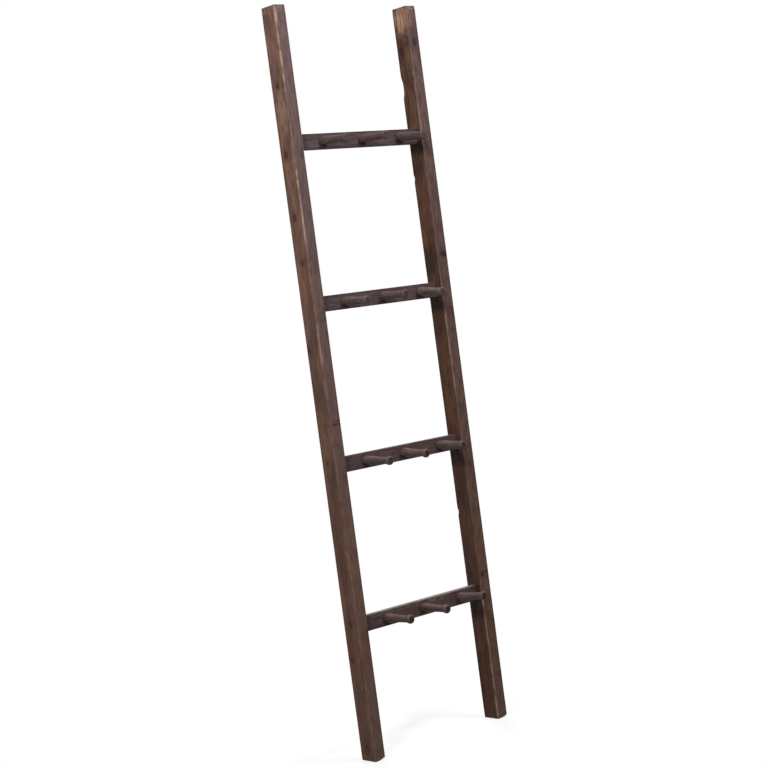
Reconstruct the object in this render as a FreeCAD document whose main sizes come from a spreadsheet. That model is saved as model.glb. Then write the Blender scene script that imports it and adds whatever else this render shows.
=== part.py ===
import FreeCAD, Part
import math
import os
import Sketcher

# Blanket ladder: two rectangular stiles, four flat rungs set between them on
# blind dowels, and three turned hanging pegs on each rung.
# Millimetres. +Z is up along the stiles, -Y is the side the pegs point to and
# +X is to the right of somebody who looks at the pegs. The origin is on the
# floor, in the middle of the ladder's overall width and depth.

SIZES = (
    # overall
    ("ladder_height", 1830),
    ("ladder_width", 446),
    # stiles
    ("stile_width", 32),
    ("stile_depth", 51),
    ("stile_edge", 2.5),        # chamfer along the four long edges
    ("stile_end_edge", 1),      # chamfer round both ends
    # rungs
    ("rung_height", 38),
    ("rung_thickness", 19),
    ("rung_edge", 1.2),         # chamfer along the four long edges
    ("bottom_rung_centre", 330),
    ("top_rung_drop", 327),     # its centre, below the top of the stiles
    # pegs
    ("peg_pitch_share", 0.32),  # of the rung's length
    ("peg_shift_share", 0.02),  # the middle peg's distance to the right of centre
    ("peg_projection", 87),     # from the rung's front face
    ("peg_root_diameter", 24),
    ("peg_waist_diameter", 17),
    ("peg_head_diameter", 22),
    ("peg_face_diameter", 15),  # flat at the end of the head
    ("peg_root_length", 3),     # straight part next to the rung
    ("peg_flare_length", 9),    # from the waist to the widest part of the head
    ("peg_head_length", 5),     # from there to the end of the peg
    ("peg_tenon_diameter", 12),
    ("peg_tenon_length", 12.5),
    ("peg_tenon_edge", 1),
    # dowels
    ("dowel_diameter", 8),
    ("dowel_pitch", 18),        # the two dowels of a rung end, one above the other
    ("dowel_in_stile", 18),
    ("dowel_in_rung", 22),
    ("dowel_edge", 0.8),
    # clearances
    ("glue_gap", 0.05),         # round a tenon or dowel, on the radius
    ("bore_relief", 1.5),       # how much deeper a bore is than what it holds
)

RUNGS = ("bottom_rung", "lower_rung", "upper_rung", "top_rung")
PEGS = ("left_peg", "middle_peg", "right_peg")
RUNG_STEPS = len(RUNGS) - 1
PEG_STEPS = len(PEGS) - 1

# What follows from the sizes above.
DERIVED = (
    ("rung_pitch", "(ladder_height - bottom_rung_centre - top_rung_drop) / %d" % RUNG_STEPS),
    ("rung_length", "ladder_width - 2 * stile_width"),
    ("peg_pitch", "rung_length * peg_pitch_share"),
    ("peg_row_shift", "rung_length * peg_shift_share"),
    ("half_rung", "rung_length / 2"),
    ("half_stile", "stile_width / 2"),
    ("stile_x", "(ladder_width - stile_width) / 2"),
    # from the face of the pegs to the back of the stiles, evenly about Y = 0
    ("mid_depth", "(rung_thickness / 2 + peg_projection - stile_depth / 2) / 2"),
    ("rung_front", "rung_thickness / 2"),
    ("dowel_rise", "dowel_pitch / 2"),
    ("dowel_length", "dowel_in_stile + dowel_in_rung"),
    ("dowel_radius", "dowel_diameter / 2"),
    ("dowel_bore_radius", "dowel_radius + glue_gap"),
    ("stile_bore_depth", "dowel_in_stile + bore_relief"),
    ("rung_bore_depth", "dowel_in_rung + bore_relief"),
    ("lower_bore_z", "bottom_rung_centre - dowel_rise"),
    ("upper_bore_z", "bottom_rung_centre + dowel_rise"),
    ("peg_bore_radius", "peg_tenon_diameter / 2 + glue_gap"),
    ("peg_bore_depth", "peg_tenon_length + bore_relief"),
    ("first_peg_x", "peg_pitch - peg_row_shift"),
    ("tenon_radius", "peg_tenon_diameter / 2"),
    ("tenon_face_radius", "tenon_radius - peg_tenon_edge"),
    ("tenon_straight", "peg_tenon_length - peg_tenon_edge"),
    ("root_radius", "peg_root_diameter / 2"),
    ("waist_radius", "peg_waist_diameter / 2"),
    ("head_radius", "peg_head_diameter / 2"),
    ("face_radius", "peg_face_diameter / 2"),
    ("head_z", "peg_projection - peg_head_length"),
    ("waist_z", "head_z - peg_flare_length"),
)

X = FreeCAD.Vector(1, 0, 0)
Y = FreeCAD.Vector(0, 1, 0)
Z = FreeCAD.Vector(0, 0, 1)
STRAIGHT = FreeCAD.Rotation()
HALF_TURN = FreeCAD.Rotation(Z, 180)
TO_THE_FRONT = FreeCAD.Rotation(X, 90)
TO_THE_RIGHT = FreeCAD.Rotation(Y, 90)

# Places in a sketch: its own origin and axes, and the ends of a line or arc.
ORIGIN = (-1, 1)
ACROSS_AXIS = -1
UPWARD_AXIS = -2
START = 1
END = 2
CENTRE = 3

doc = FreeCAD.newDocument("blanket_ladder")


# ---------------------------------------------------------------- sheet

sheet = doc.addObject("Spreadsheet::Sheet", "Sizes")
cells = [(alias, "%s" % value) for alias, value in SIZES]
cells += [(alias, "=" + formula) for alias, formula in DERIVED]
for row, (alias, content) in enumerate(cells, start=1):
    sheet.set("A%d" % row, alias)
    sheet.set("B%d" % row, content)
    sheet.setAlias("B%d" % row, alias)
doc.recompute()


def size(alias):
    return float(sheet.get(alias))


# ---------------------------------------------------------------- sketches

def origin_plane(body, role):
    return next(item for item in body.Origin.OriginFeatures if item.Role == role)


def sketch_on(body, name, role, offset=None):
    """A sketch on one of the body's own planes, moved off it by a named size."""
    sketch = body.newObject("Sketcher::SketchObject", name)
    sketch.AttachmentSupport = [(origin_plane(body, role), "")]
    sketch.MapMode = "FlatFace"
    if offset:
        sketch.setExpression("AttachmentOffset.Base.z", "Sizes." + offset)
    return sketch


def drive(sketch, name, kind, places, alias):
    """Adds a named dimension between places and ties it to the sheet."""
    numbers = [number for place in places for number in place]
    index = sketch.addConstraint(Sketcher.Constraint(kind, *numbers, size(alias)))
    sketch.renameConstraint(index, name)
    sketch.setExpression("Constraints." + name, "Sizes." + alias)


def join(sketch, first, second):
    sketch.addConstraint(Sketcher.Constraint("Coincident", *first, *second))


def add_rectangle(sketch, across, upward):
    """A rectangle centred on the sketch's origin."""
    x = size(across) / 2
    y = size(upward) / 2
    corners = [FreeCAD.Vector(*corner) for corner in ((-x, -y), (x, -y), (x, y), (-x, y))]
    for line in range(4):
        sketch.addGeometry(Part.LineSegment(corners[line], corners[(line + 1) % 4]), False)
    for line in range(4):
        join(sketch, (line, END), ((line + 1) % 4, START))
        kind = "Vertical" if line % 2 else "Horizontal"
        sketch.addConstraint(Sketcher.Constraint(kind, line))
    sketch.addConstraint(Sketcher.Constraint("Symmetric", 0, START, 1, END, *ORIGIN))
    drive(sketch, "across", "DistanceX", ((0, START), (0, END)), across)
    drive(sketch, "upward", "DistanceY", ((1, START), (1, END)), upward)


def add_circle(sketch, name, x, y, radius):
    """A circle of a named radius about a point; returns the place of its centre."""
    circle = Part.Circle(FreeCAD.Vector(x, y), Z, size(radius))
    index = sketch.addGeometry(circle, False)
    drive(sketch, name + "_radius", "Radius", ((index,),), radius)
    return index, CENTRE


def hold_on(sketch, place, axis):
    sketch.addConstraint(Sketcher.Constraint("PointOnObject", *place, axis))


# ---------------------------------------------------------------- features

def new_body(label):
    body = doc.addObject("PartDesign::Body", label)
    body.Label = label
    return body


def swept(body, kind, sketch, name, length):
    """A pad or a pocket of a named length."""
    feature = body.newObject("PartDesign::" + kind, name)
    feature.Profile = sketch
    feature.setExpression("Length", "Sizes." + length)
    doc.recompute()
    return feature


def cut_bores(body, sketch, name, depth):
    """A pocket that must take material away."""
    before = body.Shape.Volume
    feature = swept(body, "Pocket", sketch, name, depth)
    if feature.Shape.Volume >= before:
        raise RuntimeError("the bores of %s miss it" % body.Label)
    return feature


def in_a_row(body, bores, name, sketch, axis, steps, pitch):
    """Repeats the bores along one of their sketch's axes, a named pitch apart."""
    row = body.newObject("PartDesign::LinearPattern", name)
    row.Originals = [bores]
    row.Direction = (sketch, [axis])
    row.Occurrences = steps + 1
    row.setExpression("Length", "%d * Sizes.%s" % (steps, pitch))
    body.Tip = row
    doc.recompute()


def chamfer(body, base, name, width, wanted):
    """Chamfers the edges of the base feature that the test accepts."""
    edges = enumerate(base.Shape.Edges, start=1)
    feature = body.newObject("PartDesign::Chamfer", name)
    feature.Base = (base, ["Edge%d" % number for number, edge in edges if wanted(edge)])
    feature.setExpression("Size", "Sizes." + width)
    doc.recompute()
    return feature


def runs_along(axis):
    """Accepts the edges parallel to an axis."""
    def test(edge):
        start, end = [vertex.Point for vertex in edge.Vertexes]
        return (end - start).cross(axis).Length < 1e-6
    return test


def is_level(edge):
    return edge.BoundBox.ZLength < 1e-6


def place(item, rotation, **formulas):
    """Turns a piece and ties its position to the sheet."""
    item.Placement = FreeCAD.Placement(FreeCAD.Vector(), rotation)
    for axis, formula in formulas.items():
        item.setExpression("Placement.Base." + axis, formula)


# ---------------------------------------------------------------- stiles

def make_stile(label, rotation, x):
    """A post with blind bores for the rungs' dowels in its inner face.

    Both stiles are the same piece; one of them is turned half way round.
    """
    body = new_body(label)
    section = sketch_on(body, "Section", "XY_Plane")
    add_rectangle(section, "stile_width", "stile_depth")
    post = swept(body, "Pad", section, "Post", "ladder_height")
    eased = chamfer(body, post, "LongEdges", "stile_edge", runs_along(Z))
    chamfer(body, eased, "EndEdges", "stile_end_edge", is_level)

    inner_face = sketch_on(body, "DowelBores", "YZ_Plane", "half_stile")
    for name in ("lower_bore", "upper_bore"):
        centre = add_circle(inner_face, name, 0, size(name + "_z"), "dowel_bore_radius")
        hold_on(inner_face, centre, UPWARD_AXIS)
        drive(inner_face, name + "_z", "DistanceY", (ORIGIN, centre), name + "_z")
    bores = cut_bores(body, inner_face, "Bores", "stile_bore_depth")
    in_a_row(body, bores, "BoresOfEachRung", inner_face, "V_Axis", RUNG_STEPS, "rung_pitch")
    place(body, rotation, x=x, y="Sizes.mid_depth")
    return body


# ---------------------------------------------------------------- rungs

def make_rung(label, z):
    """A board on edge, with bores for pegs in its front and dowels in its ends."""
    body = new_body(label)
    section = sketch_on(body, "Section", "YZ_Plane")
    add_rectangle(section, "rung_thickness", "rung_height")
    board = swept(body, "Pad", section, "Board", "rung_length")
    board.SideType = "Symmetric"
    doc.recompute()
    chamfer(body, board, "LongEdges", "rung_edge", runs_along(X))

    front = sketch_on(body, "PegBores", "XZ_Plane", "rung_front")
    centre = add_circle(front, "peg_bore", -size("first_peg_x"), 0, "peg_bore_radius")
    hold_on(front, centre, ACROSS_AXIS)
    drive(front, "first_peg_x", "DistanceX", (centre, ORIGIN), "first_peg_x")
    peg_bore = cut_bores(body, front, "PegBore", "peg_bore_depth")
    in_a_row(body, peg_bore, "BoreOfEachPeg", front, "H_Axis", PEG_STEPS, "peg_pitch")

    end = sketch_on(body, "DowelBores", "YZ_Plane", "half_rung")
    for name, sign in (("lower_bore", -1), ("upper_bore", 1)):
        centre = add_circle(end, name, 0, sign * size("dowel_rise"), "dowel_bore_radius")
        hold_on(end, centre, UPWARD_AXIS)
        drive(end, name + "_z", "DistanceY", (ORIGIN, centre)[::sign], "dowel_rise")
    bores = cut_bores(body, end, "RightEndBores", "rung_bore_depth")
    both_ends = body.newObject("PartDesign::Mirrored", "BothEndsBores")
    both_ends.Originals = [bores]
    both_ends.MirrorPlane = (origin_plane(body, "YZ_Plane"), [""])
    body.Tip = both_ends
    doc.recompute()
    place(body, STRAIGHT, y="Sizes.mid_depth", z=z)
    return body


# ---------------------------------------------------------------- pegs

# The outline of half a peg, as radius and length; zero length is the front
# face of the rung, and the tenon lies behind it. Each row holds the radius,
# the length, whether it is behind that face, and what leads to the next row:
# a line, or an arc whose centre is level with this point or with the next.
LINE, LEVEL_HERE, LEVEL_NEXT = "line", "level here", "level with the next"
PEG_OUTLINE = (
    (None, "peg_tenon_length", True, LINE),
    ("tenon_face_radius", "peg_tenon_length", True, LINE),
    ("tenon_radius", "tenon_straight", True, LINE),
    ("tenon_radius", None, False, LINE),
    ("root_radius", None, False, LINE),
    ("root_radius", "peg_root_length", False, LEVEL_NEXT),
    ("waist_radius", "waist_z", False, LEVEL_HERE),
    ("head_radius", "head_z", False, LEVEL_HERE),
    ("face_radius", "peg_projection", False, LINE),
    (None, "peg_projection", False, LINE),
)


def outline_point(radius, length, behind):
    x = size(radius) if radius else 0
    y = size(length) if length else 0
    return FreeCAD.Vector(x, -y if behind else y)


def levelled_arc(level, other):
    """The arc between two points whose centre is level with the first."""
    across = other.x - level.x
    radius = (across ** 2 + (other.y - level.y) ** 2) / (2 * across)
    centre = FreeCAD.Vector(level.x + radius, level.y)
    spokes = (level - centre, other - centre)
    first, last = sorted(math.atan2(spoke.y, spoke.x) for spoke in spokes)
    if last - first > math.pi:
        first, last = last, first + 2 * math.pi
    return Part.ArcOfCircle(Part.Circle(centre, Z, abs(radius)), first, last)


def make_peg(label, x, z):
    """A turned peg: tenon, root, long hollow taper, flared head, rounded rim."""
    body = new_body(label)
    profile = sketch_on(body, "Outline", "XZ_Plane")
    points = [outline_point(*row[:3]) for row in PEG_OUTLINE]
    count = len(points)
    starts = []
    ends = []
    for index, (point, row) in enumerate(zip(points, PEG_OUTLINE)):
        following = points[(index + 1) % count]
        if row[3] == LINE:
            edge = Part.LineSegment(point, following)
        elif row[3] == LEVEL_HERE:
            edge = levelled_arc(point, following)
        else:
            edge = levelled_arc(following, point)
        profile.addGeometry(edge, False)
        begins_here = profile.Geometry[index].StartPoint.isEqual(point, 1e-6)
        starts.append((index, START if begins_here else END))
        ends.append((index, END if begins_here else START))

    for index, (radius, length, behind, leads_on) in enumerate(PEG_OUTLINE):
        here = starts[index]
        join(profile, ends[index - 1], here)
        if radius:
            drive(profile, "radius_%d" % index, "DistanceX", (ORIGIN, here), radius)
        else:
            hold_on(profile, here, UPWARD_AXIS)
        if length:
            order = (here, ORIGIN) if behind else (ORIGIN, here)
            drive(profile, "length_%d" % index, "DistanceY", order, length)
        else:
            hold_on(profile, here, ACROSS_AXIS)
        if leads_on != LINE:
            level = here if leads_on == LEVEL_HERE else ends[index]
            profile.addConstraint(Sketcher.Constraint("Horizontal", index, CENTRE, *level))

    turned = body.newObject("PartDesign::Revolution", "Turned")
    turned.Profile = profile
    turned.ReferenceAxis = (profile, ["V_Axis"])
    doc.recompute()
    place(body, TO_THE_FRONT, x=x, y="Sizes.mid_depth - Sizes.rung_front", z=z)
    return body


# ---------------------------------------------------------------- dowels

def make_dowels(label, x, z):
    """The two dowels of a rung end, one above the other."""
    pair = []
    for name, sign in (("upper", "+"), ("lower", "-")):
        body = new_body("%s_%s" % (label, name))
        section = sketch_on(body, "Section", "XY_Plane")
        join(section, add_circle(section, "dowel", 0, 0, "dowel_radius"), ORIGIN)
        rod = swept(body, "Pad", section, "Rod", "dowel_length")
        chamfer(body, rod, "EndEdges", "dowel_edge", is_level)
        height = "%s %s Sizes.dowel_rise" % (z, sign)
        place(body, TO_THE_RIGHT, x=x, y="Sizes.mid_depth", z=height)
        pair.append(body)
    group = doc.addObject("Part::Compound", label)
    group.Label = label
    group.Links = pair
    return group


# ---------------------------------------------------------------- assembly

nodes = [
    make_stile("left_stile", STRAIGHT, "-Sizes.stile_x"),
    make_stile("right_stile", HALF_TURN, "Sizes.stile_x"),
]
for step, rung in enumerate(RUNGS):
    rung_z = "Sizes.bottom_rung_centre + %d * Sizes.rung_pitch" % step
    nodes.append(make_rung(rung, rung_z))
    for number, peg in enumerate(PEGS):
        peg_x = "%d * Sizes.peg_pitch - Sizes.first_peg_x" % number
        nodes.append(make_peg("%s_%s" % (rung, peg), peg_x, rung_z))
    left_x = "-Sizes.half_rung - Sizes.dowel_in_stile"
    right_x = "Sizes.half_rung - Sizes.dowel_in_rung"
    nodes.append(make_dowels(rung + "_left_dowels", left_x, rung_z))
    nodes.append(make_dowels(rung + "_right_dowels", right_x, rung_z))
doc.recompute()

for item in doc.Objects:
    if "Invalid" in item.State or "Error" in item.State:
        raise RuntimeError("%s did not build: %s" % (item.Label, item.State))
for node in nodes:
    if node.Shape.isNull() or not node.Shape.isValid():
        raise RuntimeError("%s has no valid shape" % node.Label)

os.makedirs("parts", exist_ok=True)
for node in nodes:
    node.Shape.exportStep("parts/%s.step" % node.Label)
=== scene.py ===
import math

import bpy
from mathutils import Matrix, Vector, noise


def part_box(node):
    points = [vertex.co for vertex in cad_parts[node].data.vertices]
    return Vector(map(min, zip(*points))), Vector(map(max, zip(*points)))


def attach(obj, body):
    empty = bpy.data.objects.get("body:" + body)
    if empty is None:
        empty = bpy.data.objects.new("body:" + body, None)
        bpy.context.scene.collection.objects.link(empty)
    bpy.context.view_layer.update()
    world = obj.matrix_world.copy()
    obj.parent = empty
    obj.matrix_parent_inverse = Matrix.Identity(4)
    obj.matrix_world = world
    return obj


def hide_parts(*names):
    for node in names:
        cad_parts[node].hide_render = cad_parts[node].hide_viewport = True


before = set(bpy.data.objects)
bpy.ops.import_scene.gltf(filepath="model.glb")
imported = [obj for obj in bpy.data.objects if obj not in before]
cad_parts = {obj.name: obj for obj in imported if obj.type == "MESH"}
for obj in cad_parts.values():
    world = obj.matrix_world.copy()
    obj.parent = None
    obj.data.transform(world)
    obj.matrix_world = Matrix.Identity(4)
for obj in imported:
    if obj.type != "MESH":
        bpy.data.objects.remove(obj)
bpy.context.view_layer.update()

MM = 0.001

# The camera, in the room where the ladder leans back. Places are in metres and angles in degrees.
LEAN = 11.62
CAMERA_PLACE = (-2.789, -3.007, 1.734)
CAMERA_TURN = 40.77
CAMERA_DROP = 11.47
CAMERA_LENS = 81.96

# A board's mesh: how far from an edge its lines lie, and the spacing of the others across its
# width, its depth and its length, in millimetres.
STILE_LINES = (0, 1, 2, 3.2, 5, 8)
STILE_SPACING = (4, 4, 6)
RUNG_LINES = (0, 0.5, 1, 1.8, 3)
RUNG_SPACING = (4, 4, 5)

# The world axes of a board's width, depth and length.
X, Y, Z = range(3)
UPRIGHT = (X, Y, Z)
LEVEL = (Z, Y, X)

# How a worn edge's section lies between a flat chamfer, at 1, and a round, at 2.
EDGE_ROUNDNESS = 1.35

# Wear on a board, in millimetres: how far from its end the long edges begin to take the end edges'
# size and have it, how near an edge the finish is darker, how far below its top a stile begins to
# fray and is frayed, and how long the waves in the surface are across the grain and along it.
NEAR_END = (14, 3)
RIM = 6
FRAYED = (22, 4)
WAVE_LENGTHS = (12, 12, 110)

# A peg's outline, in millimetres: how far its straight root and its waist lie from the rung's
# front face, the place and radius of its head, the radius of its end face and how hollow that is,
# and how far the peg is sunk into the rung.
PEG_ROOT = 3
PEG_WAIST = 73
PEG_HEAD = (82, 11)
PEG_FACE_RADIUS = 7.5
PEG_FACE_HOLLOW = 0.15
PEG_SUNK = 0.6

# How many points of a peg's mesh go round it.
PEG_TURNS = 48

# The floor: how far it reaches in metres, its colour for the light on it, and its colour where its
# shadow is seen.
FLOOR_REACH = 9
FLOOR_MATT = (0.1, 0.1, 0.1, 1)
FLOOR_PALE = (0.8, 0.8, 0.8, 1)
WHITE = (1, 1, 1, 1)

# Each lamp: its place, the place it points at and its side, in metres, its power in watts, and
# whether it shows in reflections.
LAMPS = {
    "key": ((-2.3, -1.3, 2.6), (0, 0, 1.2), 0.5, 62, True),
    "fill": ((0.7, -1.7, 3.5), (0, 0, 1.2), 0.6, 64, True),
    "back": ((1.6, 2.4, 2.2), (0, 0, 1.0), 1.0, 70, False)}

SIDES = ("left", "middle", "right")
RUNGS = ("top_rung", "upper_rung", "lower_rung", "bottom_rung")


def colour(red, green, blue):
    """The linear colour of a colour seen as these 0 to 255 values."""
    linear = []
    for value in (red / 255, green / 255, blue / 255):
        linear.append(value / 12.92 if value <= 0.04045 else ((value + 0.055) / 1.055) ** 2.4)
    return (*linear, 1)


def ripple(seed, *place):
    """A smooth value between -1 and 1 at a place of one to three numbers, the same each time."""
    offset = Vector((seed * 7.3, seed * 3.1, seed * 5.7))
    return noise.noise(Vector((*place, 0, 0)[:3]) + offset)


def step(value, start, end):
    """0 before start, 1 after end, and a smooth rise between them."""
    share = min(max((value - start) / (end - start), 0), 1)
    return share * share * (3 - 2 * share)


def shares(count):
    """The end of each of count equal parts of the way from 0 to 1."""
    return [n / count for n in range(1, count + 1)]


# Meshes

def lines(half, near_edge, spacing):
    """Where a board's grid lines lie across one side: close together near the edges."""
    flat = half - near_edge[-1] * MM
    count = max(2, round(2 * flat / spacing))
    middle = [flat * (2 * n / count - 1) for n in range(count + 1)]
    side = [half - distance * MM for distance in near_edge[:-1]]
    return [-place for place in side] + middle + side[::-1]


def shell(grid):
    """The points and faces of a box's six sides, cut along the grid's lines."""
    last = [len(axis) - 1 for axis in grid]
    points, faces, known = [], [], {}

    def point(index):
        if index not in known:
            known[index] = len(points)
            points.append(Vector([axis[n] for axis, n in zip(grid, index)]))
        return known[index]

    for axis in range(3):
        first, second = (axis + 1) % 3, (axis + 2) % 3
        for end in (0, last[axis]):
            turn = 1 if end else -1
            for i in range(last[first]):
                for j in range(last[second]):
                    face = []
                    for add_i, add_j in ((0, 0), (1, 0), (1, 1), (0, 1))[::turn]:
                        index = [end] * 3
                        index[first] = i + add_i
                        index[second] = j + add_j
                        face.append(point(tuple(index)))
                    faces.append(face)
    return points, faces


def softened(point, half, edge):
    """A point of a box moved in where it is nearer than the edge size to two or three faces."""
    over = [max(0, abs(value) - (side - edge)) for value, side in zip(point, half)]
    length = sum(value ** EDGE_ROUNDNESS for value in over) ** (1 / EDGE_ROUNDNESS)
    if length <= edge:
        return point
    moved = [math.copysign(abs(value) - extra * (1 - edge / length), value)
             for value, extra in zip(point, over)]
    return Vector(moved)


def nearest_edge(point):
    """Which long edge a point is nearest to: 0 is low in width and depth, 3 is high in both."""
    return (point[0] > 0) + 2 * (point[1] > 0)


def edge_size(point, half, look):
    """The worn edge's size beside a point: it wanders along the board and grows at a hollow."""
    corner = nearest_edge(point)
    seed = look["seed"] + corner
    along = point[2] / MM
    wander = 0.45 * ripple(seed, along / 90) + 0.3 * ripple(seed, along / 23)
    size = look["edges"][corner] * (1 + wander)
    for where, place, reach, extra in look["hollows"]:
        if where == corner:
            size += extra * (1 - step(abs(along - place), 0.25 * reach, reach))
    begin, done = (half[2] / MM - distance for distance in NEAR_END)
    return (size + (look["end_edge"] - size) * step(abs(along), begin, done)) * MM


def rub_at(point, look):
    """How far the finish is rubbed off the long edge beside a point: more over some stretches."""
    corner = nearest_edge(point)
    rub = look["rub"][corner]
    for where, place, reach, extra in look["rubbed"]:
        if where == corner:
            rub += extra * (1 - step(abs(point[2] / MM - place), 0.6 * reach, reach))
    return rub


def worn(point, half, look):
    """A board's point after wear, and how much it is worn, near an edge, sawn and frayed there."""
    edge = edge_size(point, half, look)
    moved = softened(point, half, edge)
    for normal, distance in look["cuts"]:
        normal = Vector(normal).normalized()
        rough = 0.5 * ripple(look["seed"] + 9, *(moved / (4 * MM)))
        over = moved.dot(normal) - (distance + rough) * MM
        if over > 0:
            moved = moved - normal * over
    from_edge = max(half[0] - abs(point[0]), half[1] - abs(point[1])) / MM
    beside = 0.35 * (1 - step(from_edge, edge / MM, edge / MM + 2))
    wear = rub_at(point, look) * max(beside, min(1, (moved - point).length / (0.3 * edge)))
    end = step(abs(moved[2]), half[2] - look["end_edge"] * MM, half[2])
    low, high = (half[2] - distance * MM for distance in FRAYED)
    fray = look["fray"] * (1 - end) * step(point[2], low, high)
    waves = ripple(look["seed"] + 5, *(moved[n] / (WAVE_LENGTHS[n] * MM) for n in range(3)))
    inward = Vector([-math.copysign(1, value) if abs(abs(value) - side) < 1e-5 else 0
                     for value, side in zip(moved, half)])
    moved += inward * look["waves"] * MM * (0.5 + 0.5 * waves)
    rim = 1 - step(from_edge, 0, RIM)
    return moved, {"wear": wear, "rim": rim, "end": 0.6 * end, "fray": fray}


def new_piece(name, points, faces, **amounts):
    """A smooth-shaded object with this mesh, whose points carry the amounts as attributes."""
    mesh = bpy.data.meshes.new(name)
    mesh.from_pydata(points, [], faces)
    for attribute, values in amounts.items():
        mesh.attributes.new(attribute, "FLOAT", "POINT").data.foreach_set("value", values)
    mesh.shade_smooth()
    piece = bpy.data.objects.new(name, mesh)
    bpy.context.scene.collection.objects.link(piece)
    return piece


def keep(piece, node, material):
    """The piece, in this material, stands for a CAD node on the ladder's only body."""
    piece.data.materials.append(material)
    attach(piece, "root")
    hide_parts(node)


def make_board(node, axes, near_edge, spacing, look):
    """A worn board in a CAD node's box."""
    low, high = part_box(node)
    middle = (low + high) / 2
    half = [(high[axis] - low[axis]) / 2 for axis in axes]
    grid = [lines(side, near_edge, gap * MM) for side, gap in zip(half, spacing)]
    points, faces = shell(grid)
    placed = []
    amounts = {"wear": [], "rim": [], "end": [], "fray": []}
    for point in points:
        moved, here = worn(point, half, look)
        world = middle.copy()
        for value, axis in zip(moved, axes):
            world[axis] += value
        placed.append(world)
        for name, value in here.items():
            amounts[name].append(value)
    if axes == LEVEL:
        faces = [face[::-1] for face in faces]
    return new_piece(node + "_wood", placed, faces, **amounts)


def peg_outline(length, root_radius, waist):
    """A peg's distances and radii in millimetres, from its root to the middle of its face."""
    outline = [(-PEG_SUNK, root_radius), (PEG_ROOT * 0.5, root_radius), (PEG_ROOT, root_radius)]
    head_at, head = PEG_HEAD
    for share in shares(24):
        fall = 1 - (1 - share) ** 2
        outline.append((PEG_ROOT + (PEG_WAIST - PEG_ROOT) * share,
                        root_radius + (waist - root_radius) * fall))
    for share in shares(8):
        outline.append((PEG_WAIST + (head_at - PEG_WAIST) * share,
                        waist + (head - waist) * step(share, -0.3, 1)))
    for share in shares(8):
        turn = math.radians(90 * share)
        outline.append((head_at + (length - head_at) * math.sin(turn),
                        PEG_FACE_RADIUS + (head - PEG_FACE_RADIUS) * math.cos(turn)))
    for share in shares(5):
        outline.append((length - PEG_FACE_HOLLOW * share, PEG_FACE_RADIUS * (1 - share / 1.1)))
    return outline


def make_peg(node, rung, tilt, waist, ends, seed):
    """A turned peg on a rung's front face, whose tip is moved right and up by the tilt."""
    rim, dark = ends
    low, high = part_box(node)
    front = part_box(rung)[0].y
    length = (front - low.y) / MM
    outline = peg_outline(length, (high.x - low.x) / 2 / MM, waist)
    points, wear, end = [], [], []
    for along, radius in outline:
        for n in range(PEG_TURNS):
            angle = 2 * math.pi * n / PEG_TURNS
            out = radius * (1 + 0.012 * ripple(seed, math.cos(angle), math.sin(angle), along / 25))
            share = max(along, 0) / length
            points.append(Vector((
                (low.x + high.x) / 2 + (out * math.cos(angle) + tilt[0] * share) * MM,
                front - along * MM,
                (low.z + high.z) / 2 + (out * math.sin(angle) + tilt[1] * share) * MM)))
            face = step(along, length - 0.8, length - 0.3) if radius < PEG_FACE_RADIUS + 0.1 else 0
            wear.append(rim * (1 - face) * (1 - min(1, abs(along - length + 2) / 5)))
            end.append(dark * face)
    rings = [[row * PEG_TURNS + n for n in range(PEG_TURNS)] for row in range(len(outline))]
    faces = [[lower[n], lower[(n + 1) % PEG_TURNS], upper[(n + 1) % PEG_TURNS], upper[n]]
             for lower, upper in zip(rings, rings[1:]) for n in range(PEG_TURNS)]
    faces += [rings[0][::-1], rings[-1]]
    return new_piece(node + "_wood", points, faces, wear=wear, end=end)


# Materials

def add(tree, kind, inputs, **settings):
    """A new node with its settings made, and its inputs linked to sockets or given values."""
    made = tree.nodes.new("ShaderNode" + kind)
    for name, value in settings.items():
        setattr(made, name, value)
    for name, value in inputs.items():
        if isinstance(value, bpy.types.NodeSocket):
            tree.links.new(value, made.inputs[name])
        else:
            made.inputs[name].default_value = value
    return made


def maths(tree, operation, *values):
    return add(tree, "Math", dict(enumerate(values)), operation=operation).outputs[0]


def vectors(tree, operation, *values):
    made = add(tree, "VectorMath", dict(enumerate(values)), operation=operation)
    return made.outputs["Value" if operation == "LENGTH" else "Vector"]


def between(tree, value, low, high, start=0.0, end=1.0):
    """Goes smoothly from start, where the value is low, to end, where it is high."""
    inputs = {"Value": value, "From Min": low, "From Max": high, "To Min": start, "To Max": end}
    return add(tree, "MapRange", inputs, interpolation_type="SMOOTHSTEP").outputs["Result"]


def mixed(tree, factor, first, second, blend="MIX"):
    made = add(tree, "Mix", {0: factor, 6: first, 7: second}, data_type="RGBA", blend_type=blend)
    return made.outputs[2]


def cloud(tree, place, scale, detail=3.0, offset=0.0):
    """A noise value, from 0 to 1, at a place."""
    inputs = {"Vector": place, "Scale": scale, "Detail": detail, "W": offset}
    return add(tree, "TexNoise", inputs, noise_dimensions="4D").outputs[0]


def amount(tree, name):
    return add(tree, "Attribute", {}, attribute_name=name).outputs["Fac"]


def grey_of(tree, value):
    return add(tree, "CombineColor", {0: value, 1: value, 2: value}).outputs[0]


def drawn_out(tree, place, along, scale):
    """A place whose textures are drawn out along the grain."""
    return vectors(tree, "MULTIPLY", place, [scale if axis == along else 1.0 for axis in range(3)])


def offset_from(tree, place, along, centre, radius, reach):
    """The way from a centre, and its length, where the radius and the reach along count as 1."""
    scale = [1 / (reach * MM) if axis == along else 1 / (radius * MM) for axis in range(3)]
    offset = vectors(tree, "SUBTRACT", place, [value * MM for value in centre])
    return offset, vectors(tree, "LENGTH", vectors(tree, "MULTIPLY", offset, scale))


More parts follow.
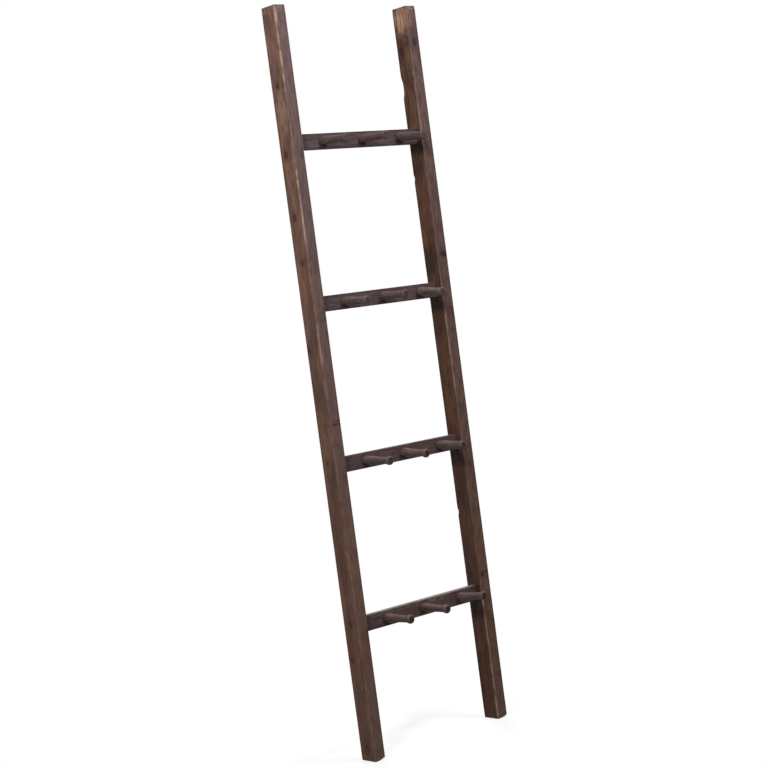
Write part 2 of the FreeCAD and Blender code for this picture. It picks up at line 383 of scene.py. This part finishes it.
def knotted(tree, place, along, knots):
    """The place, bent round each knot as grain is, and how deep in a knot and how near it is."""
    core, halo = 0.0, 0.0
    for centre, radius, reach in knots:
        offset, distance = offset_from(tree, place, along, centre, radius, reach)
        pith = between(tree, distance, 0.25, 0.75, 0.55, 1.0)
        inside = maths(tree, "MULTIPLY", between(tree, distance, 0.75, 1.15, 1.0, 0.0), pith)
        core = maths(tree, "MAXIMUM", core, inside)
        around = between(tree, distance, 0.8, 3.2, 1.0, 0.0)
        halo = maths(tree, "MAXIMUM", halo, around)
        pull = maths(tree, "MULTIPLY", around, -0.6)
        push = add(tree, "VectorMath", {0: offset, "Scale": pull}, operation="SCALE")
        place = vectors(tree, "ADD", place, push.outputs["Vector"])
    return place, core, halo


def stained_and_shaded(tree, shade, place, along, stains_and_shade, seed):
    """The shade with soft patches of other tones, whose edges are ragged: real stains, and in
    places painted shade and painted top light.
    """
    ragged = maths(tree, "MULTIPLY_ADD", cloud(tree, place, 90, 4, seed + 28), 1.2, -0.6)
    for centre, radius, reach, tone, strength in stains_and_shade:
        distance = offset_from(tree, place, along, centre, radius, reach)[1]
        share = between(tree, maths(tree, "ADD", distance, ragged), 0.3, 1.15, strength, 0.0)
        shade = mixed(tree, share, shade, tone)
    return shade


def growth_rings(tree, place, along, heart, seed):
    """How near a place is, from 0 to 1, to the late wood of the rings round the heart."""
    from_heart = vectors(tree, "SUBTRACT", place, [value * MM for value in heart])
    distance = vectors(tree, "LENGTH", drawn_out(tree, from_heart, along, 0.012))
    wander = cloud(tree, drawn_out(tree, place, along, 0.16), 30, 2, seed + 16)
    ring = maths(tree, "MULTIPLY_ADD", distance, 330.0, maths(tree, "MULTIPLY", wander, 14.0))
    return between(tree, maths(tree, "FRACT", ring), 0.5, 0.97)


def grain_of(tree, place, along, heart, seed):
    """The values, from 0 to 1, that a piece of wood's streaks, fibres and rings are made from."""
    streak_place = drawn_out(tree, place, along, 0.16)
    return {
        "broad": cloud(tree, streak_place, 60, 3, seed),
        "middle": cloud(tree, streak_place, 190, 4, seed + 4),
        "fine": cloud(tree, drawn_out(tree, place, along, 0.03), 900, 4, seed + 8),
        "hue": cloud(tree, drawn_out(tree, place, along, 0.1), 75, 3, seed + 12),
        "red": cloud(tree, streak_place, 110, 3, seed + 14),
        "late": growth_rings(tree, place, along, heart, seed)}


def streaked(tree, tones, grain):
    """The finish in long streaks of dark, middle, warm, grey and red."""
    shade = mixed(tree, between(tree, grain["broad"], 0.3, 0.62), tones["dark"], tones["middle"])
    shade = mixed(tree, between(tree, grain["hue"], 0.46, 0.7, 0.0, 0.8), shade, tones["warm"])
    shade = mixed(tree, between(tree, grain["hue"], 0.3, 0.5, 0.7, 0.0), shade, tones["grey"])
    return mixed(tree, between(tree, grain["red"], 0.52, 0.66, 0.0, 0.55), shade, tones["red"])


def tinted_by_facing_and_height(tree, shade, spot, tones):
    """The shade, greyer on the ladder's front and back and darker towards its foot."""
    facing = add(tree, "SeparateXYZ", {0: spot.outputs["Normal"]}).outputs[Y]
    height = add(tree, "SeparateXYZ", {0: spot.outputs["Object"]}).outputs[Z]
    front = between(tree, maths(tree, "ABSOLUTE", facing), 0.4, 0.9, 0.0, tones["front"])
    greyer = mixed(tree, between(tree, height, 0.2, 1.35), tones["low"], tones["grey"])
    shade = mixed(tree, front, shade, greyer)
    darker = mixed(tree, between(tree, height, 0.1, 1.7), tones["foot"], WHITE)
    return mixed(tree, 1.0, shade, darker, "MULTIPLY")


def grained(tree, shade, tones, grain, core, halo):
    """The shade with sawn ends, dark streaks, rings, fibres, knots and dark rims."""
    shade = mixed(tree, amount(tree, "end"), shade, tones["knot"])
    shade = mixed(tree, between(tree, grain["middle"], 0.33, 0.56, 0.7, 0.0), shade, tones["dark"])
    shade = mixed(tree, maths(tree, "MULTIPLY", grain["late"], 0.35), shade, tones["dark"])
    fibres = grey_of(tree, between(tree, grain["fine"], 0.3, 0.7, 0.74, 1.24))
    shade = mixed(tree, 1.0, shade, fibres, "MULTIPLY")
    shade = mixed(tree, maths(tree, "MULTIPLY", halo, 0.35), shade, tones["knot"])
    shade = mixed(tree, maths(tree, "MULTIPLY", core, 0.95), shade, tones["knot"])
    smear = between(tree, grain["broad"], 0.3, 0.6, 0.15, 0.6)
    return mixed(tree, maths(tree, "MULTIPLY", amount(tree, "rim"), smear), shade, tones["knot"])


def rubbed(tree, shade, place, along, tones, seed):
    """The shade with bare wood where it is rubbed, and torn fibres where it is frayed."""
    patch = between(tree, cloud(tree, place, 45, 4, seed + 20), 0.35, 0.62)
    share = maths(tree, "MULTIPLY_ADD", patch, 0.55, 0.3)
    bare = maths(tree, "MULTIPLY", amount(tree, "wear"), share)
    shade = mixed(tree, bare, shade, tones["worn"])
    torn = cloud(tree, drawn_out(tree, place, along, 0.35), 330, 3, seed + 24)
    frayed = amount(tree, "fray")
    pale = maths(tree, "MULTIPLY", frayed, between(tree, torn, 0.5, 0.62, 0.0, 0.8))
    gap = maths(tree, "MULTIPLY", frayed, between(tree, torn, 0.36, 0.46, 0.9, 0.0))
    shade = mixed(tree, pale, shade, tones["worn"])
    return mixed(tree, gap, shade, tones["knot"])


def empty_tree(owner):
    """The node tree of a material or a world, with no nodes in it."""
    owner.use_nodes = True
    owner.node_tree.nodes.clear()
    return owner.node_tree


def wood(name, along, tones, knots=(), stains_and_shade=(), seed=0.0, heart=(0, 0, 0)):
    """Stained, worn softwood whose grain runs along an axis, with its rings round the heart."""
    material = bpy.data.materials.new(name)
    tree = empty_tree(material)
    spot = add(tree, "TexCoord", {})
    place, core, halo = knotted(tree, spot.outputs["Object"], along, knots)
    grain = grain_of(tree, place, along, heart, seed)
    shade = tinted_by_facing_and_height(tree, streaked(tree, tones, grain), spot, tones)
    shade = stained_and_shaded(tree, shade, spot.outputs["Object"], along, stains_and_shade, seed)
    shade = grained(tree, shade, tones, grain, core, halo)
    shade = rubbed(tree, shade, place, along, tones, seed)
    early = between(tree, grain["middle"], 0.3, 0.7, 0.62, 0.78)
    rough = maths(tree, "MULTIPLY_ADD", grain["late"], -0.08, early)
    relief = maths(tree, "MULTIPLY_ADD", grain["late"], 0.5, grain["fine"])
    bump = add(tree, "Bump", {"Height": relief, "Strength": 0.5, "Distance": 0.0004})
    shader = add(tree, "BsdfPrincipled", {
        "Base Color": shade, "Roughness": rough, "Specular IOR Level": 0.15,
        "Normal": bump.outputs["Normal"]})
    add(tree, "OutputMaterial", {"Surface": shader.outputs["BSDF"]})
    return material


# The tones of each kind of piece. "front" is how much greyer the ladder's front and back are,
# "low" is that grey near the floor, and "foot" is what every tone is multiplied by there.
LEFT_TONES = {
    "dark": colour(80, 57, 47), "middle": colour(129, 100, 90), "warm": colour(140, 102, 76),
    "grey": colour(93, 79, 81), "red": colour(132, 93, 83), "knot": colour(60, 34, 25),
    "worn": colour(196, 164, 148), "foot": (0.74, 0.66, 0.6, 1), "front": 0.72,
    "low": colour(122, 99, 92)}
RIGHT_TONES = {
    "dark": colour(52, 33, 24), "middle": colour(106, 77, 64), "warm": colour(118, 78, 48),
    "grey": colour(98, 80, 78), "red": colour(112, 70, 53), "knot": colour(36, 21, 16),
    "worn": colour(164, 136, 120), "foot": (0.72, 0.61, 0.55, 1), "front": 0.7,
    "low": colour(124, 104, 94)}
RUNG_TONES = {
    "dark": colour(58, 44, 44), "middle": colour(92, 75, 76), "warm": colour(96, 75, 68),
    "grey": colour(98, 84, 87), "red": colour(98, 72, 71), "knot": colour(36, 25, 24),
    "worn": colour(128, 112, 108), "foot": (0.9, 0.88, 0.86, 1), "front": 0.2,
    "low": colour(90, 74, 74)}
PEG_TONES = {
    "dark": colour(60, 46, 44), "middle": colour(92, 74, 72), "warm": colour(96, 77, 68),
    "grey": colour(92, 76, 77), "red": colour(96, 70, 69), "knot": colour(34, 26, 25),
    "worn": colour(116, 99, 95), "foot": (0.9, 0.88, 0.86, 1), "front": 0.0,
    "low": colour(90, 74, 74)}
DOWEL_TONES = {
    "dark": colour(160, 128, 92), "middle": colour(196, 168, 130), "warm": colour(204, 170, 120),
    "grey": colour(190, 170, 140), "red": colour(196, 150, 116), "knot": colour(120, 90, 60),
    "worn": colour(215, 190, 155), "foot": WHITE, "front": 0.0,
    "low": colour(190, 170, 140)}

# The faces of the stiles that the photograph shows: the fronts are at y 10, the left stile's outer
# face is at x -223, and the right stile's inner face is at x 191, in millimetres.
INNER_FACE = 191

# The middle of each stile's growth rings, in millimetres.
LEFT_HEART = (-260, 90, 0)
RIGHT_HEART = (150, 80, 0)

# Knots: the centre, the radius across the grain and the reach along it, in millimetres.
LEFT_KNOTS = (
    ((-223, 38, 1640), 6.5, 7),
    ((-223, 41, 1475), 7.5, 9),
    ((-223, 40, 1325), 7, 9),
    ((-223, 34, 1215), 5, 6),
    ((-223, 52, 1006), 5.5, 8),
    ((-223, 40, 730), 4, 6),
    ((-223, 47, 248), 5, 7),
    ((-223, 37, 32), 6.5, 8),
    ((-223, 36, 338), 7, 7),
    ((-206, 10, 822), 18, 2),
    ((-198, 10, 830), 9, 1.5),
    ((-217, 10, 103), 2, 4))
RIGHT_KNOTS = (
    ((207, 10, 1738), 5, 11),
    ((191, 46, 1718), 5, 14),
    ((191, 32, 1212), 4, 8),
    ((191, 60, 840), 3, 7),
    ((191, 42, 377), 4.5, 8),
    ((201, 10, 375), 5, 6),
    ((210, 10, 379), 11, 1.4),
    ((212, 10, 1200), 11, 7))

# Stains: the centre, the radius across the grain, the reach along it, the tone and the strength.
LEFT_STAINS = (
    ((-223, 48, 1798), 16, 34, colour(88, 74, 58), 0.6),
    ((-223, 19, 1722), 9, 75, colour(138, 98, 66), 0.6),
    ((-194, 10, 1735), 9, 75, colour(100, 84, 96), 0.6),
    ((-223, 30, 1580), 24, 75, colour(152, 122, 106), 0.55),
    ((-223, 26, 1400), 13, 45, colour(108, 84, 50), 0.6),
    ((-200, 10, 1390), 10, 70, colour(98, 80, 88), 0.45),
    ((-223, 35, 905), 24, 60, colour(78, 58, 44), 0.5),
    ((-212, 10, 700), 16, 70, colour(96, 76, 66), 0.5),
    ((-223, 32, 610), 26, 150, colour(76, 55, 43), 0.55),
    ((-223, 34, 280), 12, 90, colour(106, 70, 42), 0.5),
    ((-223, 35, 40), 28, 90, colour(90, 69, 55), 0.4),
    ((-207, 10, 60), 24, 170, colour(99, 82, 79), 0.5))
RIGHT_STAINS_AND_SHADE = (
    ((191, 34, 1800), 28, 50, colour(204, 160, 134), 0.8),
    ((191, 24, 1690), 14, 60, colour(128, 98, 84), 0.5),
    ((216, 10, 1752), 11, 60, colour(80, 60, 72), 0.7),
    ((191, 30, 1560), 20, 60, colour(104, 70, 54), 0.5),
    # Painted shade under the top rung.
    ((191, 34, 1440), 28, 50, colour(56, 39, 30), 0.45),
    ((191, 30, 1350), 16, 80, colour(106, 68, 50), 0.5),
    ((191, 46, 1180), 34, 55, colour(40, 27, 21), 0.9),
    ((191, 30, 960), 16, 110, colour(112, 72, 38), 0.6),
    # Painted shade under the upper rung.
    ((191, 34, 1040), 28, 60, colour(60, 37, 27), 0.75),
    # Painted shade under the lower rung.
    ((191, 36, 620), 26, 80, colour(60, 37, 26), 0.75),
    ((191, 22, 480), 10, 60, colour(100, 68, 40), 0.5),
    ((191, 36, 415), 26, 60, colour(56, 37, 28), 0.35),
    ((191, 40, 330), 26, 70, colour(46, 32, 24), 0.5))

# The tone of the painted shade on a stile's inner face under the rungs, and of the painted top
# light on the bottom rung.
UNDER_RUNG_SHADE_TONE = colour(18, 8, 6)
PAINTED_TOP_LIGHT = colour(150, 135, 130)


# Pieces

# How each stile is worn, in millimetres from its middle:
# edges and end_edge: the size of its long edges, in nearest_edge's order, and of its end edges
# waves: how deep the surface's waves go
# fray and rub: how much its top is frayed, and how much each long edge is rubbed
# rubbed and hollows: places on a long edge: which edge, where, how far they reach and how much
# cuts: flat chips, as a direction and how far out the chip's face lies that way
STILE_LOOKS = {
    "left_stile": {
        "seed": 1, "edges": (3.6, 0.7, 0.7, 2.0), "end_edge": 1.3, "waves": 0.25,
        "fray": 0.4, "rub": (0.25, 0.3, 0.1, 0.2),
        "rubbed": ((0, 820, 130, 0.7), (0, 440, 110, 0.65), (0, 100, 60, 0.3), (1, 588, 30, 0.7)),
        "hollows": (),
        "cuts": (((0.3, -0.15, -1), 870),)},
    "right_stile": {
        "seed": 11, "edges": (3.4, 0.7, 0.7, 2.0), "end_edge": 1.3, "waves": 0.25,
        "fray": 0.9, "rub": (0.35, 0.2, 0.1, 0.2),
        "rubbed": ((0, 640, 130, 0.4), (0, 40, 150, 0.55), (0, -760, 240, 0.6)),
        "hollows": ((2, 715, 32, 6), (2, 484, 8, 3), (2, -376, 8, 3.5)),
        "cuts": (((0.2, -0.12, -1), 893),)}}

# The tone of each rung's own piece of wood, and how far its bottom and top edges are rubbed; the
# pale top edges of the two lower rungs are partly wear and partly painted highlight.
RUNG_WOODS = {
    "top_rung": (colour(76, 62, 64), 0.05, 0.1), "upper_rung": (colour(78, 64, 65), 0.05, 0.1),
    "lower_rung": (colour(86, 69, 67), 0.2, 0.75), "bottom_rung": (colour(82, 65, 60), 0.2, 0.85)}

# Each peg: how far its tip stands right and up, because the bores are not quite square, and its
# radius at the waist, in millimetres; then the tone of its own piece of wood.
PEGS = {
    "top_rung": (
        (1.5, -5, 9.2, colour(90, 74, 73)),
        (3, -3, 9.2, colour(88, 72, 72)),
        (4, -9, 10.4, colour(86, 68, 69))),
    "upper_rung": (
        (0, -5, 9, colour(94, 79, 79)),
        (0, -1, 9.2, colour(94, 77, 73)),
        (-2, -7, 10.2, colour(103, 88, 79))),
    "lower_rung": (
        (5, -3, 8.6, colour(98, 82, 80)),
        (0.5, -3.5, 8.6, colour(102, 82, 76)),
        (1.5, -2, 10.2, colour(96, 80, 74))),
    "bottom_rung": (
        (4.5, 0, 8.5, colour(98, 81, 71)),
        (1.5, -0.5, 8.5, colour(94, 73, 72)),
        (4.5, 7, 8.8, colour(98, 84, 82)))}

# How much the rim of a rung's pegs is rubbed, and how dark their sawn ends are.
PEG_ENDS = {
    "top_rung": (0.1, 0.35), "upper_rung": (0.45, 0.6),
    "lower_rung": (0.6, 0.85), "bottom_rung": (0.7, 0.95)}

# Pale spots on a peg's rim, as stains that are placed from the middle of its root: the top rung's
# middle peg has a painted highlight on its head, the upper rung's left peg a bare spot.
PEG_PALE_SPOTS = {
    # A painted highlight on the head.
    "top_rung_middle_peg": (((6, -82, 6), 4, 5, colour(190, 168, 160), 0.8),),
    "upper_rung_left_peg": (((-3, -80, 6), 4, 4, colour(176, 154, 148), 0.6),)}


def painted_shade_under_rungs(face):
    """Painted shade on a stile's inner face just under each rung."""
    lows = [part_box(rung)[0].z / MM for rung in RUNGS]
    return tuple(((face, 34, low - 4), 34, 32, UNDER_RUNG_SHADE_TONE, 0.8) for low in lows)


def make_stiles():
    # Both stiles get painted shade under the rungs on their inner faces.
    left = LEFT_STAINS + painted_shade_under_rungs(-INNER_FACE)
    right = RIGHT_STAINS_AND_SHADE + painted_shade_under_rungs(INNER_FACE)
    woods = {
        "left_stile": wood("left_stile_wood", Z, LEFT_TONES, LEFT_KNOTS, left, 1.0, LEFT_HEART),
        "right_stile": wood(
            "right_stile_wood", Z, RIGHT_TONES, RIGHT_KNOTS, right, 2.3, RIGHT_HEART)}
    for node, look in STILE_LOOKS.items():
        piece = make_board(node, UPRIGHT, STILE_LINES, STILE_SPACING, look)
        keep(piece, node, woods[node])


def peg_roots(rung):
    """The middle of each peg's root on a rung's front face, in millimetres."""
    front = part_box(rung)[0].y
    roots = []
    for side in SIDES:
        low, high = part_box(f"{rung}_{side}_peg")
        roots.append(((low.x + high.x) / 2 / MM, front / MM, (low.z + high.z) / 2 / MM))
    return roots


def rung_stains_and_shade(node, tone):
    """A rung's own tone, dark finish round its pegs' roots that is also painted shade below them,
    and painted top light on the bottom rung.
    """
    low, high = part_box(node)
    stains_and_shade = [((0, 35, (low.z + high.z) / 2 / MM), 60, 400, tone, 0.5)]
    for x, y, z in peg_roots(node):
        # Dark finish round each peg's root, centred below and left of it, so that it is also
        # painted shade under the peg.
        stains_and_shade.append(((x - 2, y, z - 4), 17, 17, RUNG_TONES["knot"], 0.8))
    if node == "bottom_rung":
        # Painted top light on the bottom rung's top.
        stains_and_shade.append(((0, 35, high.z / MM), 12, 400, PAINTED_TOP_LIGHT, 0.7))
    return stains_and_shade


def make_rungs():
    for n, node in enumerate(RUNGS):
        tone, bottom_rub, top_rub_and_highlight = RUNG_WOODS[node]
        look = {
            "seed": 21 + 5 * n, "edges": (0.7, 0.7, 0.7, 0.7), "end_edge": 0.3, "waves": 0.15,
            "fray": 0, "rub": (bottom_rub, top_rub_and_highlight) * 2, "rubbed": (), "hollows": (), "cuts": ()}
        stains_and_shade = rung_stains_and_shade(node, tone)
        heart = (0, 60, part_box(node)[0].z / MM - 10)
        material = wood(node + "_wood", X, RUNG_TONES, (), stains_and_shade, 5.0 + n, heart)
        piece = make_board(node, LEVEL, RUNG_LINES, RUNG_SPACING, look)
        keep(piece, node, material)


def peg_stains_and_shade(node, root, tone):
    """A peg's own tone, painted shade on the underside of its root, and the pale spots on its rim.
    """
    x, y, z = root
    stains_and_shade = [((x, y - 40, z), 60, 90, tone, 0.7),
              # Painted shade on the underside of the peg's root.
              ((x - 3, y - 2, z - 11), 8, 16, PEG_TONES["knot"], 0.85)]
    for centre, *rest in PEG_PALE_SPOTS.get(node, ()):
        stains_and_shade.append(((x + centre[0], y + centre[1], z + centre[2]), *rest))
    return stains_and_shade


def make_pegs():
    for n, rung in enumerate(RUNGS):
        for m, (side, root) in enumerate(zip(SIDES, peg_roots(rung))):
            node = f"{rung}_{side}_peg"
            number = len(SIDES) * n + m
            right, up, waist, tone = PEGS[rung][m]
            stains_and_shade = peg_stains_and_shade(node, root, tone)
            heart = (root[0] + 3, 0, root[2] - 2)
            material = wood(node + "_wood", Y, PEG_TONES, (), stains_and_shade, 11.0 + number, heart)
            piece = make_peg(node, rung, (right, up), waist, PEG_ENDS[rung], number)
            keep(piece, node, material)


def finish_dowels():
    """The dowels inside the rung ends keep their CAD shape and get bare wood."""
    material = wood("dowel_wood", X, DOWEL_TONES, seed=30.0)
    for node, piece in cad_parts.items():
        if node.endswith("_dowels"):
            piece.data.materials.clear()
            piece.data.materials.append(material)


# Scene

def seen_factor(tree):
    """1 for what is seen directly, in a reflection or through glass, and 0 for light."""
    path = add(tree, "LightPath", {})
    either = maths(tree, "MAXIMUM", path.outputs["Is Camera Ray"], path.outputs["Is Glossy Ray"])
    return maths(tree, "MAXIMUM", either, path.outputs["Is Transmission Ray"])


def make_world():
    """White where it is seen; as light, bright overhead and dim from below."""
    world = bpy.data.worlds.new("studio")
    bpy.context.scene.world = world
    tree = empty_tree(world)
    direction = add(tree, "TexCoord", {}).outputs["Generated"]
    height = add(tree, "SeparateXYZ", {0: direction}).outputs[Z]
    strength = between(tree, height, 0.0, 0.95, 0.02, 0.66)
    light = add(tree, "Background", {"Color": WHITE, "Strength": strength})
    seen = add(tree, "Background", {"Color": WHITE, "Strength": 1.0})
    both = add(tree, "MixShader", {0: seen_factor(tree), 1: light.outputs[0], 2: seen.outputs[0]})
    add(tree, "OutputWorld", {"Surface": both.outputs[0]})


def make_floor():
    """A plain floor that shows as white, and near the ladder keeps its shadow."""
    material = bpy.data.materials.new("floor")
    tree = empty_tree(material)
    away = vectors(tree, "LENGTH", add(tree, "TexCoord", {}).outputs["Object"])
    matt = add(tree, "BsdfDiffuse", {"Color": FLOOR_MATT})
    pale = add(tree, "BsdfDiffuse", {"Color": FLOOR_PALE})
    glow = add(tree, "Emission", {"Color": WHITE, "Strength": 1.0})
    share = between(tree, away, 0.15, 0.6, 0.7, 1.0)
    seen = add(tree, "MixShader", {0: share, 1: pale.outputs[0], 2: glow.outputs[0]})
    both = add(tree, "MixShader", {0: seen_factor(tree), 1: matt.outputs[0], 2: seen.outputs[0]})
    add(tree, "OutputMaterial", {"Surface": both.outputs[0]})
    far = FLOOR_REACH
    corners = [(-far, -far, 0), (far, -far, 0), (far, far, 0), (-far, far, 0)]
    mesh = bpy.data.meshes.new("floor")
    mesh.from_pydata(corners, [], [(0, 1, 2, 3)])
    mesh.materials.append(material)
    floor = bpy.data.objects.new("floor", mesh)
    bpy.context.scene.collection.objects.link(floor)


def make_lamps():
    for name, (place, target, size, power, gloss) in LAMPS.items():
        lamp = bpy.data.lights.new(name, "AREA")
        lamp.size = size
        lamp.energy = power
        holder = bpy.data.objects.new(name, lamp)
        holder.visible_camera = False
        holder.visible_glossy = gloss
        aim = (Vector(target) - Vector(place)).to_track_quat("-Z", "Y")
        holder.matrix_world = Matrix.Translation(place) @ aim.to_matrix().to_4x4()
        bpy.context.scene.collection.objects.link(holder)


def make_camera():
    """The photograph's camera. The ladder leans in its room; here that room is turned instead."""
    data = bpy.data.cameras.new("camera")
    data.lens = CAMERA_LENS
    camera = bpy.data.objects.new("camera", data)
    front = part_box("left_stile")[0].y
    room = Matrix.Translation((0, front, 0)) @ Matrix.Rotation(math.radians(LEAN), 4, "X")
    turn = Matrix.Rotation(math.radians(-CAMERA_TURN), 4, "Z")
    drop = Matrix.Rotation(math.radians(90 - CAMERA_DROP), 4, "X")
    camera.matrix_world = room @ Matrix.Translation(CAMERA_PLACE) @ turn @ drop
    bpy.context.scene.collection.objects.link(camera)
    bpy.context.scene.camera = camera


bpy.context.scene.view_settings.view_transform = "Standard"
make_camera()
make_stiles()
make_rungs()
make_pegs()
finish_dowels()
make_world()
make_floor()
make_lamps()
